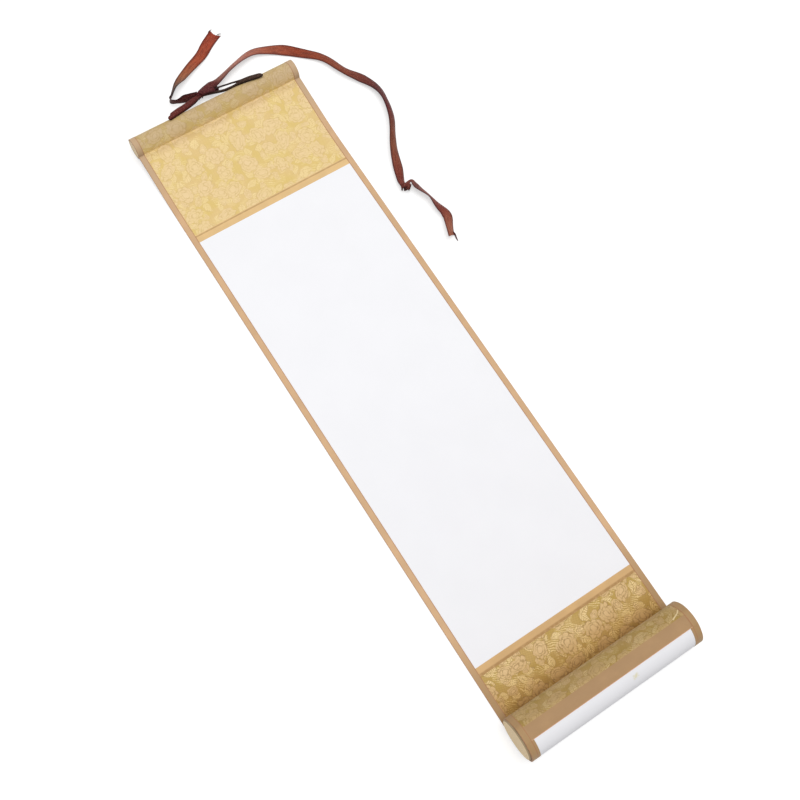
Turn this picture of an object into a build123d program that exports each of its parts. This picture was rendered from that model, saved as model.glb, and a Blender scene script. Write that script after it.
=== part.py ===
from build123d import *
import math
import os

os.makedirs("parts", exist_ok=True)

# Small blank hanging scroll, lying face up and unrolled on a table, in millimetres.
# X runs across the sheet, Y up the sheet from the roller to the stave and Z up from the table.
# The origin is on the table, under the middle of the scroll without its ribbon.

# The sheet
sheet_width = 100.0
panel_height = 260.0
cross_strip = 4.5
roller_to_panel = 36.5
panel_to_stave = 63.1
face = 0.30
paper = 0.25

# The tape folded round each long edge: its thickness and its width on the face and on the back
tape = 0.10
border = 3.25
back_border = 4.5
tape_clear_of_roller = 4.0

# The roller, with the sheet wound a little more than half way round it
roller_radius = 10.5
rod_overhang = 0.8
rod_chamfer = 0.4
fold_gap = 0.26
roll_end_angle = 104.5
end_strip = 6.9
strip_lap = 0.5
hidden_tuck = 4.0
ramp_bend = 3.0
wrap_tape_angle = -60.0

# The stave, and how the stiff sheet lifts off the table to reach it
stave_radius = 5.2
lift_bend = 150.0
lift_slope = 7.5
kink_bend = 0.8
fold_back_bend = 1.0
fold_back_run = 1.0

# The ribbon: narrow where it is creased lengthwise into a hanging loop, full width in its tails
loop_diameter = 3.0
tail_diameter = 6.0
arc_share = 0.45
tube_sides = 16

# The tie knot, and the small knot near the end of the long tail
knot_height = 6.0
knot_lift = 0.3
knot_bend = 1.0
knot_bore = 2.2
knot_bore_place = (11.2, 3.8)
collar_wall = 0.95
collar_length = 4.0
collar_gap = 0.3


def polar(centre, radius, angle):
    """Point of a circle seen from the +X side, with 0 degrees towards +Y and 90 degrees up"""
    y = centre[0] + radius * math.cos(math.radians(angle))
    z = centre[1] + radius * math.sin(math.radians(angle))
    return (y, z)


def run(start, end):
    """Straight step of a path in the YZ plane"""
    return ("run", start, end)


def turn(centre, radius, start, end):
    """Round step of a path, anticlockwise where the end angle is the larger"""
    return ("turn", centre, radius, start, end)


def beside(step, side):
    """The same step moved to its own left by a distance"""
    if step[0] == "run":
        (y0, z0), (y1, z1) = step[1:]
        length = math.hypot(y1 - y0, z1 - z0)
        dy = -(z1 - z0) / length * side
        dz = (y1 - y0) / length * side
        return run((y0 + dy, z0 + dz), (y1 + dy, z1 + dz))
    centre, radius, start, end = step[1:]
    new_radius = radius - side if end > start else radius + side
    return turn(centre, new_radius, start, end)


def end_point(step, last):
    """First or last point of a step"""
    if step[0] == "run":
        return step[2] if last else step[1]
    return polar(step[1], step[2], step[4] if last else step[3])


def band(path, low, high):
    """Closed outline of a layer that lies between two distances to the left of a path"""
    for side in (low, high):
        for step in path:
            edge = beside(step, side)
            if edge[0] == "run":
                Line(edge[1], edge[2])
            else:
                CenterArc(edge[1], edge[2], edge[3], edge[4] - edge[3])
    for last, step in ((False, path[0]), (True, path[-1])):
        Line(end_point(beside(step, low), last), end_point(beside(step, high), last))


def layer(bands, start_x, width):
    """Solid across the sheet with the outline of one or more bands"""
    with BuildSketch(Plane.YZ.offset(start_x)) as outline:
        for path, low, high in bands:
            with BuildLine():
                band(path, low, high)
            make_face()
    extrude(outline.sketch, amount=width)


# Radii about the roller's axis: the silk that wraps the rod, then the face and the back of the sheet
turned_face = roller_radius + face + fold_gap
glue_line = turned_face + face
back_radius = glue_line + paper
roller_outer = back_radius + tape
stave_outer = stave_radius + face + tape

# The two axes, with the scroll's length centred on the origin
axis_distance = roller_to_panel + panel_height + panel_to_stave
roller_y = -(roller_outer + axis_distance + stave_outer) / 2 + roller_outer
stave_y = roller_y + axis_distance
roller = (roller_y, roller_outer)
stave = (stave_y, stave_outer)
panel_bottom = roller_y + roller_to_panel
panel_top = panel_bottom + panel_height

# Widths across the sheet
half_sheet = sheet_width / 2
half_layer = half_sheet - tape
flat_glue = roller_outer - glue_line

# Angles about the roller, from the free end of the back round to the table
strip_angle = roll_end_angle - math.degrees(end_strip / (back_radius + face / 2))
back_angle = strip_angle - math.degrees(strip_lap / back_radius)
tuck_angle = back_angle + math.degrees(hidden_tuck / glue_line)
ramp_half = math.degrees(
    math.acos((roller_radius - ramp_bend) / (back_radius - ramp_bend))
)
ramp_angle = back_angle - ramp_half

# The silk leaves the rod along a tangent and bends onto the end of the back
ramp_centre = polar(roller, back_radius - ramp_bend, back_angle)
ramp_top = polar(ramp_centre, ramp_bend, ramp_angle)
ramp_foot = polar(roller, roller_radius, ramp_angle)

# The hidden fold where the silk turns back from the sheet's face to the rod
fold_centre = polar(roller, roller_radius + face + fold_gap / 2, tuck_angle)
fold_radius = face + fold_gap / 2

# The sheet's rise to the stave: an arc off the table, a straight slope and a kink into the wrap
slope_y = math.cos(math.radians(lift_slope))
slope_z = math.sin(math.radians(lift_slope))
kink_centre = (stave_y - stave_radius - kink_bend, stave_outer)
kink_start = polar(kink_centre, kink_bend, lift_slope - 90)
lift_rise = lift_bend * (1 - slope_y)
slope_run = (kink_start[1] - flat_glue - lift_rise) / slope_z
slope_start = (kink_start[0] - slope_run * slope_y, kink_start[1] - slope_run * slope_z)
lift_centre = (slope_start[0] - lift_bend * slope_z, flat_glue + lift_bend)
lift_start = (lift_centre[0], flat_glue)

# The silk's way back from round the stave onto the underside of the sheet
drop = paper + fold_back_bend
from_stave_y = kink_start[0] + drop * slope_z - stave_y
from_stave_z = kink_start[1] - drop * slope_y - stave_outer
along = from_stave_y * slope_y + from_stave_z * slope_z
reach = (stave_radius + fold_back_bend) ** 2 - from_stave_y**2 - from_stave_z**2
shift = -along - math.sqrt(along**2 + reach)
back_fold_y = stave_y + from_stave_y + shift * slope_y
back_fold_z = stave_outer + from_stave_z + shift * slope_z
back_fold = (back_fold_y, back_fold_z)
wrap_end = math.degrees(math.atan2(back_fold_z - stave_outer, back_fold_y - stave_y))
under_start = polar(back_fold, fold_back_bend, lift_slope + 90)
end_shift = min(shift, 0)
sheet_end = (kink_start[0] + end_shift * slope_y, kink_start[1] + end_shift * slope_z)


def down_slope(distance):
    """Point on the sheet's underside, a distance back from where the silk is glued to it"""
    return (under_start[0] - distance * slope_y, under_start[1] - distance * slope_z)


strip_foot = down_slope(fold_back_run + end_strip)
above_strip = (strip_foot[0] - paper * slope_z, strip_foot[1] + paper * slope_y)

# Paths in the YZ plane, each with the face of the silk on its left
lift = turn(lift_centre, lift_bend, 270, 270 + lift_slope)
sheet_path = [
    turn(roller, glue_line, back_angle, 270),
    run((roller_y, flat_glue), lift_start),
    lift,
    run(slope_start, sheet_end),
]
back_tape_path = [
    turn(roller, glue_line, roll_end_angle, 270),
    run((roller_y, flat_glue), lift_start),
    lift,
    run(slope_start, above_strip),
]
strip_path = [turn(roller, back_radius, roll_end_angle, strip_angle)]
ramp_path = [
    turn(roller, back_radius, strip_angle, back_angle),
    turn(ramp_centre, ramp_bend, back_angle, ramp_angle),
    run(ramp_top, ramp_foot),
]
lower_path = ramp_path + [
    turn(roller, roller_radius, ramp_angle, tuck_angle - 360),
    turn(fold_centre, fold_radius, tuck_angle + 180, tuck_angle + 360),
    turn(roller, glue_line, tuck_angle, 270),
    run((roller_y, flat_glue), (panel_bottom - cross_strip, flat_glue)),
]
wrap_tape_path = strip_path + ramp_path
wrap_tape_path.append(turn(roller, roller_radius, ramp_angle, wrap_tape_angle))
upper_path = [
    run((panel_top + cross_strip, flat_glue), lift_start),
    lift,
    run(slope_start, kink_start),
    turn(kink_centre, kink_bend, lift_slope - 90, 0),
    turn(stave, stave_radius, 180, wrap_end),
    turn(back_fold, fold_back_bend, wrap_end + 180, lift_slope + 90),
    run(under_start, down_slope(fold_back_run)),
]
stave_strip_path = [run(down_slope(fold_back_run), down_slope(fold_back_run + end_strip))]


def flat_path(start_y, end_y):
    """Straight path along the flat sheet, on the glued side of its face layers"""
    return [run((start_y, flat_glue), (end_y, flat_glue))]


lower_strip_path = flat_path(panel_bottom - cross_strip, panel_bottom)
panel_path = flat_path(panel_bottom, panel_top)
upper_strip_path = flat_path(panel_top, panel_top + cross_strip)
face_tape_path = flat_path(roller_y + tape_clear_of_roller, panel_top + cross_strip)
face_tape_path = face_tape_path + upper_path + stave_strip_path

# The white paper that backs the whole sheet: flat, round the roller's far side and up to the stave
with BuildPart() as backing_paper:
    layer([(sheet_path, -paper, 0)], -half_layer, 2 * half_layer)
backing_paper.part.label = "backing_paper"

# The patterned silk at the top: it rises, wraps the stave and is glued under the sheet
with BuildPart() as upper_brocade:
    layer([(upper_path, 0, face)], -half_layer, 2 * half_layer)
upper_brocade.part.label = "upper_brocade"

# The patterned silk at the bottom: flat, round with the back, folded inwards and round the rod
with BuildPart() as lower_brocade:
    layer([(lower_path, 0, face)], -half_layer, 2 * half_layer)
lower_brocade.part.label = "lower_brocade"

# The blank sheet for writing
with BuildPart() as writing_paper:
    layer([(panel_path, 0, face)], -half_layer, 2 * half_layer)
writing_paper.part.label = "writing_paper"

# Plain strips above and below the writing paper
with BuildPart() as upper_cross_strip:
    layer([(upper_strip_path, 0, face)], -half_layer, 2 * half_layer)
upper_cross_strip.part.label = "upper_cross_strip"

with BuildPart() as lower_cross_strip:
    layer([(lower_strip_path, 0, face)], -half_layer, 2 * half_layer)
lower_cross_strip.part.label = "lower_cross_strip"

# Plain strips that finish the silk where it is glued to the back, over the roller and by the stave
with BuildPart() as roller_end_strip:
    layer([(strip_path, 0, face)], -half_layer, 2 * half_layer)
roller_end_strip.part.label = "roller_end_strip"

with BuildPart() as stave_end_strip:
    layer([(stave_strip_path, 0, face)], -half_layer, 2 * half_layer)
stave_end_strip.part.label = "stave_end_strip"

# Edge tapes: a thin side over every layer's edge, a flange on the face and one on the back
layer_edges = [
    (sheet_path, -paper, 0),
    (upper_path, 0, face),
    (stave_strip_path, 0, face),
    (lower_path, 0, face),
    (strip_path, 0, face),
    (lower_strip_path, 0, face),
    (panel_path, 0, face),
    (upper_strip_path, 0, face),
]
face_flanges = [(face_tape_path, face, face + tape), (wrap_tape_path, face, face + tape)]
back_flanges = [(back_tape_path, -paper - tape, -paper)]
bindings = []
for name, outward in (("left_edge_binding", -1), ("right_edge_binding", 1)):
    with BuildPart() as binding:
        layer(layer_edges, outward * half_layer, outward * tape)
        layer(face_flanges, outward * (half_sheet - border), outward * border)
        layer(back_flanges, outward * (half_sheet - back_border), outward * back_border)
    binding.part.label = name
    bindings.append(binding)

# Round wooden rods, the roller's with its end edges taken off
rod_half = half_sheet + rod_overhang
with BuildPart() as roller_rod:
    with BuildSketch(Plane.YZ.offset(-rod_half)):
        with Locations(roller):
            Circle(roller_radius)
    extrude(amount=2 * rod_half)
    chamfer(roller_rod.edges().filter_by(GeomType.CIRCLE), rod_chamfer)
roller_rod.part.label = "roller_rod"

with BuildPart() as stave_rod:
    with BuildSketch(Plane.YZ.offset(-half_sheet)):
        with Locations(stave):
            Circle(stave_radius)
    extrude(amount=2 * half_sheet)
stave_rod.part.label = "stave_rod"

# Ribbon routes, with each Y measured from the stave's axis
loop_points = [
    (-25.4, 4.3, 11.6),
    (-20.0, 5.6, 10.6),
    (-14.0, 7.6, 8.2),
    (-8.0, 11.0, 4.2),
    (2.0, 11.4, 3.6),
    (11.5, 10.8, 4.1),
    (16.5, 7.8, 7.6),
    (21.8, 5.4, 10.8),
    (27.0, 4.0, 11.9),
    (31.4, 3.2, 12.4),
]
short_tail_points = [
    (-5.3, 15.8, 3.15),
    (-13.2, 16.6, 3.05),
    (-16.8, 21.8, 3.05),
    (-15.2, 28.0, 3.05),
    (-5.2, 32.6, 3.05),
    (7.0, 36.8, 3.05),
    (24.8, 45.2, 3.05),
]
long_tail_points = [
    (8.7, 16.0, 3.15),
    (18.4, 19.4, 3.05),
    (30.5, 23.8, 3.05),
    (44.0, 21.4, 3.05),
    (58.0, 10.6, 3.05),
    (72.0, -5.4, 3.05),
    (82.0, -22.5, 3.05),
    (85.6, -36.5, 3.05),
    (81.4, -51.5, 3.05),
    (73.6, -68.0, 3.05),
    (66.0, -85.0, 4.55),
    (67.6, -96.0, 4.55),
    (72.6, -105.0, 3.05),
    (74.2, -116.5, 3.05),
    (70.2, -128.0, 3.05),
]


def placed(points):
    """Route points moved to stand behind the stave's axis"""
    return [Vector(x, stave_y + y, z) for x, y, z in points]


def corner_radii(points):
    """Largest arc at each corner that leaves part of each run straight"""
    radii = []
    for before, corner, after in zip(points, points[1:], points[2:]):
        half_turn = math.radians((corner - before).get_angle(after - corner) / 2)
        shorter = min((corner - before).length, (after - corner).length)
        radii.append(arc_share * shorter / math.tan(half_turn))
    return radii


def ribbon_tube(name, points, diameter):
    """Plain tube along a route of straight runs and tangent arcs, many-sided to keep its facets few"""
    corners = placed(points)
    radii = corner_radii(corners)
    with BuildPart() as tube:
        with BuildLine():
            route = FilletPolyline(*corners, radius=radii)
        with BuildSketch(Plane(origin=route @ 0, z_dir=route % 0)) as section:
            RegularPolygon(diameter / 2, tube_sides)
        sweep()
    tube.part.label = name
    true_volume = section.sketch.area * route.length
    print(name, "radii", [round(radius, 1) for radius in radii])
    print(name, "length", round(route.length, 1), "volume", round(tube.part.volume, 1))
    print(name, "section times length", round(true_volume, 1))
    return tube


hanging_ribbon = ribbon_tube("hanging_ribbon", loop_points, loop_diameter)
tie_tail_left = ribbon_tube("tie_tail_left", short_tail_points, tail_diameter)
tie_tail_right = ribbon_tube("tie_tail_right", long_tail_points, tail_diameter)

# The knot that ties the ribbon round its own hanging loop, seen from above, with its bore for the loop
knot_outline = [
    (-3.4, 8.5),
    (-5.0, 11.4),
    (-3.6, 18.4),
    (6.0, 18.6),
    (9.0, 13.4),
    (7.4, 8.5),
]
knot_base = Plane.XY.offset(knot_lift)
with BuildPart() as tie_knot:
    with BuildSketch(knot_base):
        with BuildLine():
            Polyline(*[(x, stave_y + y) for x, y in knot_outline], close=True)
        make_face()
    extrude(amount=knot_height)
    fillet(tie_knot.edges(), knot_bend)
    with BuildSketch(Plane.YZ.offset(-half_sheet)):
        with Locations((stave_y + knot_bore_place[0], knot_bore_place[1])):
            Circle(knot_bore)
    extrude(amount=sheet_width, mode=Mode.SUBTRACT)
tie_knot.part.label = "tie_knot"

# The small knot round the long tail, on the raised run between its two top points
collar_before, collar_after = placed(long_tail_points)[10:12]
collar_axis = (collar_after - collar_before).normalized()
collar_middle = (collar_before + collar_after) / 2
collar_start = collar_middle - collar_axis * (collar_length / 2)
collar_radius = tail_diameter / 2 + collar_gap
with BuildPart() as tail_knot:
    with BuildSketch(Plane(origin=collar_start, z_dir=collar_axis)):
        Circle(collar_radius + collar_wall)
        Circle(collar_radius, mode=Mode.SUBTRACT)
    extrude(amount=collar_length)
tail_knot.part.label = "tail_knot"

pieces = [
    backing_paper,
    upper_brocade,
    upper_cross_strip,
    writing_paper,
    lower_cross_strip,
    lower_brocade,
    roller_end_strip,
    stave_end_strip,
    *bindings,
    roller_rod,
    stave_rod,
    hanging_ribbon,
    tie_knot,
    tie_tail_left,
    tie_tail_right,
    tail_knot,
]
for piece in pieces:
    export_step(piece.part, f"parts/{piece.part.label}.step")
print("length", round(2 * (stave_y + stave_outer), 2), "roller height", round(2 * roller_outer, 2))
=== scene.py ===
# %% [markdown]
# # A small blank hanging scroll, lying open
#
# The real thing is a strip of white paper with silk and a blank panel glued on its face, a thick
# wooden rod rolled into its lower end, a thin one in its upper end, and a ribbon tied behind the
# top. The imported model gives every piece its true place. This script gives them their looks: woven
# silk with a flower pattern, soft paper, bare wood and a creased ribbon.

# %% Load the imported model
import math

import bpy
import numpy as np
from mathutils import Matrix, Vector


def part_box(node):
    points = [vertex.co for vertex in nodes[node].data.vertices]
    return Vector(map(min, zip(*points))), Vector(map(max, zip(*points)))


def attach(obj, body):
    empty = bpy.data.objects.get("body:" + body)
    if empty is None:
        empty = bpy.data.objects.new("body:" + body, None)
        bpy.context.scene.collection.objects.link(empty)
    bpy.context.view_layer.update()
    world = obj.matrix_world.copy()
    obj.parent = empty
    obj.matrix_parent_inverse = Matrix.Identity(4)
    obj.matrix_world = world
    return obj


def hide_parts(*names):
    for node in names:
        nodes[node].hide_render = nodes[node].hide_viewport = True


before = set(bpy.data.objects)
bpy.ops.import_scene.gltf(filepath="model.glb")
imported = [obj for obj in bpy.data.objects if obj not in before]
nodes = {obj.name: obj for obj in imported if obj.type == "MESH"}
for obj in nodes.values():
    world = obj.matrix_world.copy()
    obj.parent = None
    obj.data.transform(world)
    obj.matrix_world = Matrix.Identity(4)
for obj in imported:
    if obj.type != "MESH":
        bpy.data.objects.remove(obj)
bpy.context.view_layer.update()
bpy.ops.object.select_all(action="DESELECT")

# %% [markdown]
# ## Sizes
#
# Everything is placed from the model itself: the two rods give the two axes, and the blank panel
# gives the edges of the silk. Only what lies hidden between the solids is written here: how thick
# silk and paper are, and the gap inside the silk's turned-back fold.

# %% Measure the rods and the sheet
MM = 0.001
FACE = 0.30 * MM
PAPER = 0.25 * MM
FOLD_GAP = 0.26 * MM


def middle(node):
    """Centre of a node's box"""
    low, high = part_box(node)
    return (low + high) / 2


def rod_radius(node):
    """Radius of a rod that lies along X"""
    low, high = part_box(node)
    return (high.z - low.z) / 2


roller = middle("roller_rod")
stave = middle("stave_rod")
roller_radius = rod_radius("roller_rod")
stave_radius = rod_radius("stave_rod")
panel_low, panel_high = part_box("writing_paper")
glue_height = panel_low.z
half_layer = panel_high.x
print("roller", [round(value, 5) for value in roller], "stave", [round(value, 5) for value in stave])

# %% [markdown]
# ## Camera
#
# The photograph looks almost straight down, from the lower left of the sheet, so the camera stands
# there and is turned about its own axis. Its place and turn were fitted to the sheet's edges.

# %% Camera
CAMERA_PLACE = Vector((-0.13654, -0.13065, 0.53507))
CAMERA_AIM = Vector((0.23509, 0.21618, -0.94763))
CAMERA_UP = Vector((0.49747, 0.81081, 0.30838))
LENS_LENGTH = 49.69
SENSOR_WIDTH = 36.0
NEAREST_SEEN = 0.01

camera_data = bpy.data.cameras.new("camera")
camera_data.lens = LENS_LENGTH
camera_data.sensor_width = SENSOR_WIDTH
camera_data.clip_start = NEAREST_SEEN
camera = bpy.data.objects.new("camera", camera_data)
bpy.context.collection.objects.link(camera)
camera_back = -CAMERA_AIM.normalized()
camera_right = CAMERA_UP.cross(camera_back).normalized()
camera_top = camera_back.cross(camera_right)
camera_turn = Matrix((camera_right, camera_top, camera_back)).transposed()
camera.matrix_world = Matrix.Translation(CAMERA_PLACE) @ camera_turn.to_4x4()
bpy.context.scene.camera = camera
bpy.context.scene.view_settings.view_transform = "Standard"
print("camera height", round(CAMERA_PLACE.z, 3))

# %% [markdown]
# ## Helpers for materials
#
# A material is a net of nodes. Each of these small functions places one node and feeds it: a plain
# number goes into the node's own socket, and the result of another node is linked to it. A material
# can then be read as a few sums on masks and colours.

# %% Colours


def colour(red, green, blue):
    """A colour as it looks on screen, 0 to 255, as the light values that materials use"""
    light = []
    for value in (red, green, blue):
        share = value / 255
        light.append(share / 12.92 if share <= 0.04045 else ((share + 0.055) / 1.055) ** 2.4)
    return (*light, 1.0)


def dimmed(tone, share):
    """A share of a colour's light"""
    return tuple(value * share for value in tone)


print("middle grey", [round(value, 3) for value in colour(128, 128, 128)])

# %% Sums on masks


def feed(tree, socket, value):
    """Link a value to a socket, or write it there where it is a plain number or colour"""
    if isinstance(value, bpy.types.NodeSocket):
        tree.links.new(value, socket)
    else:
        socket.default_value = value


def maths(tree, operation, *values):
    """One Math node and its result"""
    node = tree.nodes.new("ShaderNodeMath")
    node.operation = operation
    for socket, value in zip(node.inputs, values):
        feed(tree, socket, value)
    return node.outputs[0]


def chained(tree, operation, values):
    """One Math node after another, over two or more values"""
    result = values[0]
    for value in values[1:]:
        result = maths(tree, operation, result, value)
    return result


def total(tree, *values):
    """Sum of the values"""
    return chained(tree, "ADD", values)


def product(tree, *values):
    """Product of the values"""
    return chained(tree, "MULTIPLY", values)


def largest(tree, *values):
    """Largest of the values"""
    return chained(tree, "MAXIMUM", values)


print("sums ready")

# %% Bands and blends


def band(tree, value, low, high, start=0.0, end=1.0):
    """Smooth step from one value to another while the input goes from low to high"""
    node = tree.nodes.new("ShaderNodeMapRange")
    node.interpolation_type = "SMOOTHSTEP"
    for name, setting in (("Value", value), ("From Min", low), ("From Max", high)):
        feed(tree, node.inputs[name], setting)
    node.inputs["To Min"].default_value = start
    node.inputs["To Max"].default_value = end
    return node.outputs["Result"]


def blend_colours(tree, factor, first, second, blend="MIX"):
    """One Mix Color node and its result"""
    node = tree.nodes.new("ShaderNodeMix")
    node.data_type = "RGBA"
    node.blend_type = blend
    feed(tree, node.inputs[0], factor)
    feed(tree, node.inputs[6], first)
    feed(tree, node.inputs[7], second)
    return node.outputs[2]


print("bands and blends ready")

# %% Places


def vector_maths(tree, operation, *values):
    """One Vector Math node and its results"""
    node = tree.nodes.new("ShaderNodeVectorMath")
    node.operation = operation
    for socket, value in zip(node.inputs, values):
        feed(tree, socket, value)
    return node.outputs


def on_solid(tree):
    """Object coordinates, for the pieces that keep the model's own solids"""
    return tree.nodes.new("ShaderNodeTexCoord").outputs["Object"]


def on_cloth(tree):
    """The UV map, which holds metres across and along a piece"""
    node = tree.nodes.new("ShaderNodeUVMap")
    node.uv_map = "UVMap"
    return node.outputs["UV"]


def parts_of(tree, vector):
    """The X, Y and Z of a vector"""
    node = tree.nodes.new("ShaderNodeSeparateXYZ")
    feed(tree, node.inputs[0], vector)
    return node.outputs


def stretched(tree, vector, scale, location=(0.0, 0.0, 0.0)):
    """The same coordinates moved and then stretched along each axis"""
    node = tree.nodes.new("ShaderNodeMapping")
    node.inputs["Location"].default_value = [a * b for a, b in zip(location, scale)]
    node.inputs["Scale"].default_value = scale
    feed(tree, node.inputs["Vector"], vector)
    return node.outputs["Vector"]


print("places ready")

# %% Noise, shaders and relief


def noise(tree, vector, scale, detail=2.0, roughness=0.5, location=(0.0, 0.0, 0.0)):
    """Soft random values, from one scale or from one for each axis"""
    scales = scale if isinstance(scale, tuple) else (scale,) * 3
    node = tree.nodes.new("ShaderNodeTexNoise")
    node.inputs["Scale"].default_value = 1.0
    node.inputs["Detail"].default_value = detail
    node.inputs["Roughness"].default_value = roughness
    feed(tree, node.inputs["Vector"], stretched(tree, vector, scales, location))
    return node.outputs["Fac"]


def new_material(name):
    """A material with its tree and its Principled shader"""
    material = bpy.data.materials.new(name)
    material.use_nodes = True
    tree = material.node_tree
    return material, tree, tree.nodes["Principled BSDF"]


def set_sockets(shader, values):
    """Plain numbers and colours, written on the shader's own sockets"""
    for name, value in values.items():
        shader.inputs[name].default_value = value


def bump(tree, shader, height, strength, distance):
    """Relief on the shader's normal"""
    node = tree.nodes.new("ShaderNodeBump")
    node.inputs["Strength"].default_value = strength
    node.inputs["Distance"].default_value = distance
    feed(tree, node.inputs["Height"], height)
    tree.links.new(node.outputs["Normal"], shader.inputs["Normal"])


print("shader helpers ready")

# %% [markdown]
# ## Light and floor
#
# The photograph's light comes from all around and leaves hardly any shadow. So the light is a wide
# soft sky with a wide gentle lamp nearly overhead, a little to the stave's side. The floor and the
# sky are white where the camera sees them and weaker as lights, and the floor keeps a faint shadow.

# %% Floor
FLOOR_SIZE = 6.0
FLOOR_GREY = 0.55
FLOOR_GLOW = 0.55


def seen_itself(tree):
    """1 where the camera sees a thing itself, in a reflection or through glass, and else 0"""
    path = tree.nodes.new("ShaderNodeLightPath")
    rays = ("Is Camera Ray", "Is Glossy Ray", "Is Transmission Ray")
    return largest(tree, *(path.outputs[ray] for ray in rays))


bpy.ops.mesh.primitive_plane_add(size=FLOOR_SIZE, location=(0.0, 0.0, 0.0))
floor = bpy.context.object
floor.name = "floor"
floor_material, tree, shader = new_material("white_floor")
set_sockets(
    shader,
    {
        "Base Color": (FLOOR_GREY, FLOOR_GREY, FLOOR_GREY, 1.0),
        "Roughness": 0.9,
        "Specular IOR Level": 0.0,
        "Emission Color": (1.0, 1.0, 1.0, 1.0),
    },
)
tree.links.new(product(tree, seen_itself(tree), FLOOR_GLOW), shader.inputs["Emission Strength"])
floor.data.materials.append(floor_material)
print("floor", FLOOR_SIZE, "m wide")

# %% Lamp and sky
LAMP_STRENGTH = 1.75
LAMP_SPREAD = 50
LAMP_FROM = Vector((0.08, 0.06, 1.0))
SKY_LIGHT = 0.5

sun_data = bpy.data.lights.new("soft_lamp", "SUN")
sun_data.energy = LAMP_STRENGTH
sun_data.angle = math.radians(LAMP_SPREAD)
sun = bpy.data.objects.new("soft_lamp", sun_data)
sun.rotation_euler = LAMP_FROM.to_track_quat("Z", "Y").to_euler()
bpy.context.collection.objects.link(sun)

world = bpy.data.worlds.new("sky")
bpy.context.scene.world = world
world.use_nodes = True
sky_tree = world.node_tree
background = sky_tree.nodes["Background"]
background.inputs["Color"].default_value = (1.0, 1.0, 1.0, 1.0)
sky_strength = maths(sky_tree, "MULTIPLY_ADD", seen_itself(sky_tree), 1.0 - SKY_LIGHT, SKY_LIGHT)
sky_tree.links.new(sky_strength, background.inputs["Strength"])
print("lamp", LAMP_SPREAD, "degrees wide, sky", SKY_LIGHT)

# %% [markdown]
# ## The ribbon's route
#
# The ribbon is one length, tied round its own hanging loop. Each stretch follows a smooth NURBS line
# that listed points lead. A row gives a point's X, its Y from the stave's axis and its Z in
# millimetres, and then how the ribbon lies there: its tilt, where 0 is flat on the table and 90 is on
# its edge, the share of its full width that is spread out, and the angle through which its
# cross-section is bent, with its edges down where that is negative.

# %% The loop's and the short tail's rows
LOOP_ROUTE = [
    (-26.4, 3.8, 11.5, 0, 0.80, -240),
    (-20.0, 5.5, 10.6, 0, 0.84, -240),
    (-14.0, 7.4, 8.3, 0, 0.82, -240),
    (-8.0, 10.4, 5.4, 0, 0.78, -230),
    (-2.6, 12.2, 4.0, 0, 0.34, -220),
    (4.0, 11.3, 4.2, 0, 0.34, -220),
    (10.5, 9.4, 5.0, 0, 0.40, -220),
    (15.6, 7.1, 7.9, 0, 0.42, -220),
    (19.6, 4.9, 10.6, 0, 0.56, -230),
    (24.0, 3.8, 11.5, 0, 0.66, -240),
    (28.0, 2.7, 12.0, 0, 0.62, -240),
    (31.2, 1.9, 12.4, 0, 0.44, -240),
]
SHORT_ROUTE = [
    (-3.3, 13.6, 3.6, 80, 0.70, -100),
    (-7.3, 14.0, 3.2, 70, 0.85, -60),
    (-10.8, 15.1, 3.1, 66, 0.85, -40),
    (-15.6, 15.2, 3.1, 92, 0.62, -40),
    (-18.8, 18.0, 3.1, 92, 0.80, 50),
    (-15.6, 20.4, 3.0, 70, 0.85, 70),
    (-12.2, 23.8, 2.8, 60, 0.90, 60),
    (-7.4, 27.2, 1.8, 26, 1.00, 30),
    (2.7, 32.4, 1.1, 13, 1.06, 25),
    (11.9, 36.3, 0.5, 3, 1.08, 20),
    (18.2, 41.5, 0.4, 0, 1.14, -18),
    (25.1, 45.0, 0.4, 0, 1.16, -18),
]
print("rows", len(LOOP_ROUTE), len(SHORT_ROUTE))

# %% The long tail's rows
LONG_ROUTE = [
    (-2.6, 13.5, 5.0, 10, 0.50, -120),
    (1.2, 13.7, 5.4, 8, 0.80, -90),
    (6.6, 14.6, 5.2, 12, 1.00, -70),
    (11.4, 16.9, 2.5, 34, 0.96, -55),
    (18.4, 19.7, 2.2, 46, 1.00, -45),
    (27.2, 22.4, 2.1, 41, 1.00, -40),
    (36.7, 24.1, 1.4, 23, 0.97, -30),
    (44.0, 21.6, 0.9, 10, 0.98, -24),
    (53.2, 16.9, 0.5, 0, 1.20, -20),
    (61.5, 9.3, 0.5, 2, 1.02, -24),
    (70.3, 1.1, 1.2, 18, 0.98, -30),
    (74.7, -11.9, 1.7, 26, 1.00, -36),
    (81.1, -20.8, 1.4, 10, 1.06, -34),
    (85.6, -29.8, 1.7, 28, 0.98, -40),
    (85.7, -38.8, 2.5, 50, 1.00, -50),
    (82.8, -50.2, 2.6, 48, 1.00, -54),
    (77.9, -58.7, 2.8, 54, 1.00, -54),
    (72.2, -68.1, 2.5, 42, 1.02, -46),
    (68.0, -79.1, 1.6, 20, 1.04, -40),
    (62.9, -91.3, 2.6, 20, 0.68, -120),
    (70.0, -89.2, 3.4, 52, 0.46, -120),
    (69.8, -93.4, 3.0, 34, 0.90, -80),
    (73.4, -103.2, 2.5, 64, 0.84, -60),
    (74.0, -110.2, 2.3, 34, 1.00, -50),
    (75.8, -116.5, 1.3, 17, 1.06, -36),
    (72.6, -122.8, 2.2, 40, 1.02, -40),
    (70.3, -128.4, 2.5, 46, 0.98, -40),
]
print("rows", len(LONG_ROUTE))

# %% Smooth lines
LINE_ORDER = 3
LINE_STEPS = 20


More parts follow.
